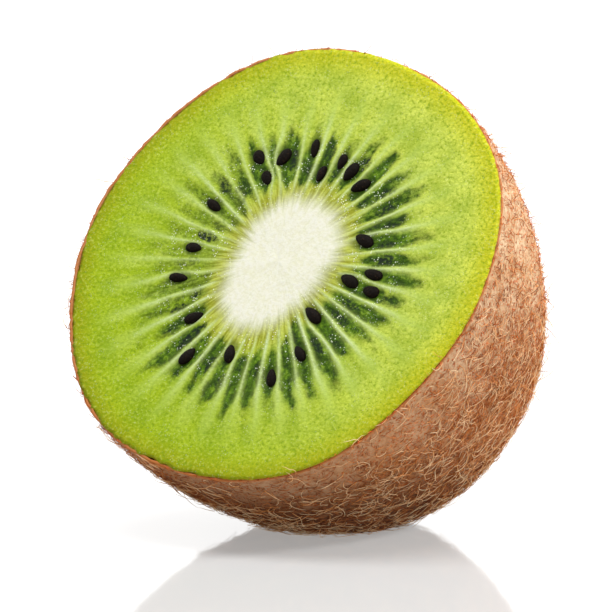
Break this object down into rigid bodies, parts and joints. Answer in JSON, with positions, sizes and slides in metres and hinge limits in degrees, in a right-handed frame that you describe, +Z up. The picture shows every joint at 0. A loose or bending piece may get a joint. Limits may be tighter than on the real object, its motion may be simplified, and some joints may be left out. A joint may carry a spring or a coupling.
{
  "type": "kiwi fruit half",
  "caption": "Half of a kiwi fruit cut across, tipped over on its fuzzy skin so that the round green cut face looks forward and up.",
  "frame": {"origin": "middle of the small flat spot on the skin that the half rests on, in the ground plane", "axes": "+Z up; the cut face's outward normal lies in the YZ plane and looks towards -Y and up, 33 degrees above level; the stalk end points towards +Y and down"},
  "size_m": [0.0484, 0.0472, 0.0495],
  "materials": {
    "skin": "thin brown fruit skin, dry and rough, with fine darker specks",
    "flesh": "moist translucent yellow-green fruit flesh with pale rays and dark green seed chambers",
    "seed": "small black-brown seeds, satin",
    "fuzz": "short stiff golden-brown hairs",
    "stalk": "dry woody stalk scar, matte"
  },
  "bodies": {
    "root": {"kiwi_half": "skin"}
  },
  "joints": []
}
